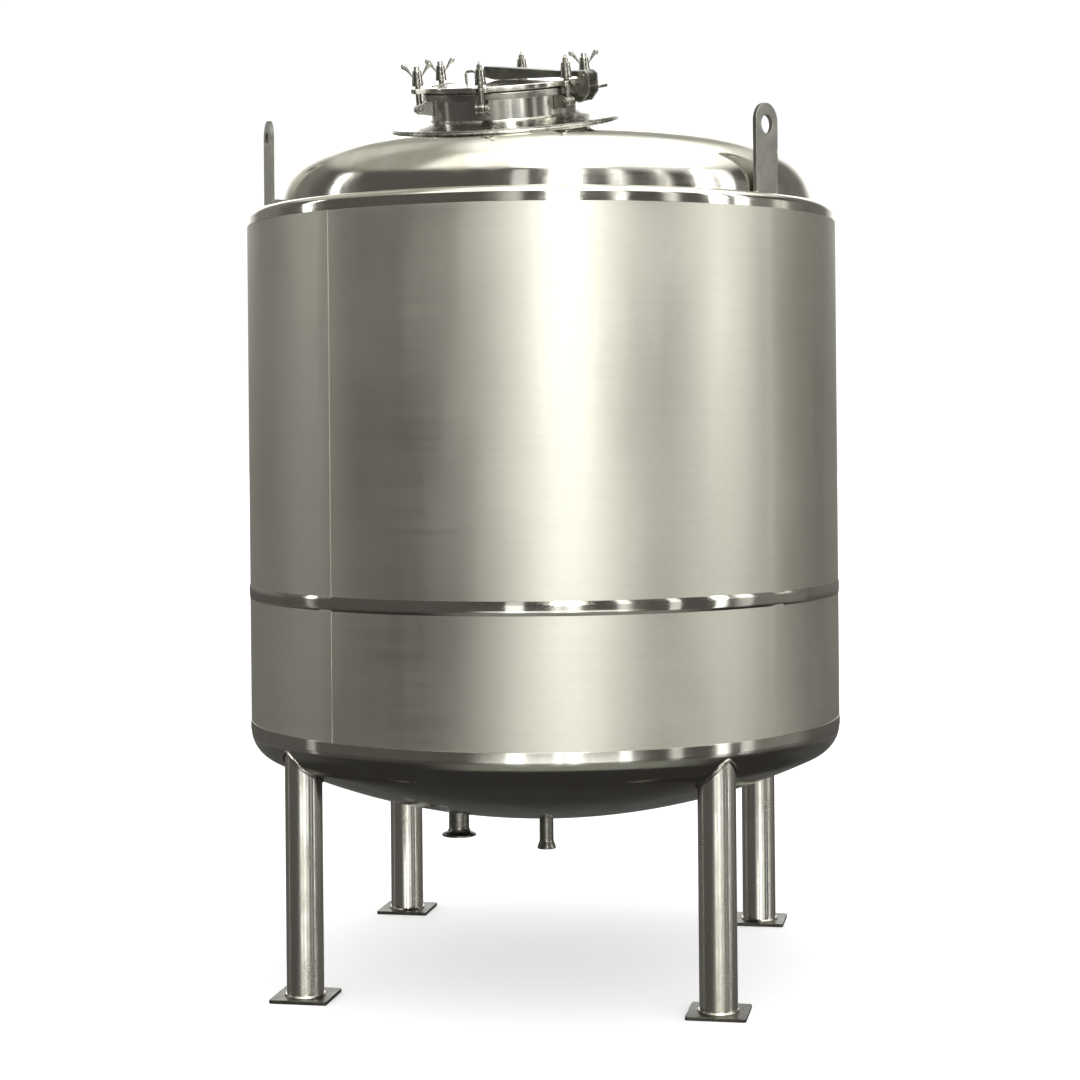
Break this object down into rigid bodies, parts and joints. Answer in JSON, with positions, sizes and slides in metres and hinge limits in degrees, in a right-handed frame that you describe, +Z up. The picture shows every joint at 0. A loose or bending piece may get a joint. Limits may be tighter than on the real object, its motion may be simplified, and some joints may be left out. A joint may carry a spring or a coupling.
{
  "type": "insulated holding tank",
  "caption": "Upright insulated stainless holding tank on pipe legs, with a dished top head, swing-bolt manway, lifting lugs and bottom nozzles.",
  "frame": {"origin": "on the floor, on the axis of the outer cladding", "axes": "+Z up along the tank; the manway is towards -Y, and the legs stand on the diagonals between X and Y"},
  "size_m": [1.7046, 1.7046, 2.6154],
  "materials": {
    "satin": "satin stainless sheet",
    "polished": "polished stainless steel",
    "plain": "bright machined stainless steel",
    "rubber": "dark seal rubber"
  },
  "bodies": {
    "tank": {"lower_cladding_1": "satin", "lower_cladding_2": "satin", "lower_cladding_3": "satin", "lower_cladding_4": "satin", "upper_cladding_1": "satin", "upper_cladding_2": "satin", "upper_cladding_3": "satin", "upper_cladding_4": "satin", "waist_band": "polished", "shoulder_ring": "polished", "bottom_band": "polished", "bottom_dish": "polished", "top_head": "polished", "manway_neck": "polished", "manway_lid": "polished", "leg_1": "polished", "leg_2": "polished", "leg_3": "polished", "leg_4": "polished", "vessel_shell": "plain", "vessel_lower_head": "plain", "drain_nozzle": "plain", "outlet_nozzle": "plain", "manway_pad": "plain", "manway_rim": "plain", "hinge_bracket": "plain", "hinge_pin": "plain", "lid_arm": "plain", "lid_handle": "plain", "foot_plate_1": "plain", "foot_plate_2": "plain", "foot_plate_3": "plain", "foot_plate_4": "plain", "lifting_lug_1": "plain", "lifting_lug_2": "plain", "lifting_lug_3": "plain", "lid_gasket": "rubber"},
    "swing_bolt_1": {"swing_bolt_1": "plain"},
    "swing_bolt_2": {"swing_bolt_2": "plain"},
    "swing_bolt_3": {"swing_bolt_3": "plain"},
    "swing_bolt_4": {"swing_bolt_4": "plain"},
    "swing_bolt_5": {"swing_bolt_5": "plain"},
    "swing_bolt_6": {"swing_bolt_6": "plain"}
  },
  "joints": [
    {"name": "swing_bolt_1_pivot", "type": "hinge", "parent": "tank", "child": "swing_bolt_1", "pos_m": [-0.03371, -0.63973, 2.38812], "axis": [0.9989, -0.0465, 0.0108], "range_deg": [0, 90]},
    {"name": "swing_bolt_2_pivot", "type": "hinge", "parent": "tank", "child": "swing_bolt_2", "pos_m": [0.17732, -0.53297, 2.41484], "axis": [0.5369, 0.8234, 0.1837], "range_deg": [0, 90]},
    {"name": "swing_bolt_3_pivot", "type": "hinge", "parent": "tank", "child": "swing_bolt_3", "pos_m": [0.18762, -0.3003, 2.46384], "axis": [-0.462, 0.8699, 0.1729], "range_deg": [0, 90]},
    {"name": "swing_bolt_4_pivot", "type": "hinge", "parent": "tank", "child": "swing_bolt_4", "pos_m": [-0.01311, -0.17438, 2.48611], "axis": [-0.9989, 0.0465, -0.0108], "range_deg": [0, 90]},
    {"name": "swing_bolt_5_pivot", "type": "hinge", "parent": "tank", "child": "swing_bolt_5", "pos_m": [-0.22414, -0.28114, 2.45939], "axis": [-0.5369, -0.8234, -0.1837], "range_deg": [0, 90]},
    {"name": "swing_bolt_6_pivot", "type": "hinge", "parent": "tank", "child": "swing_bolt_6", "pos_m": [-0.23444, -0.51381, 2.41039], "axis": [0.462, -0.8699, -0.1729], "range_deg": [0, 90]}
  ]
}
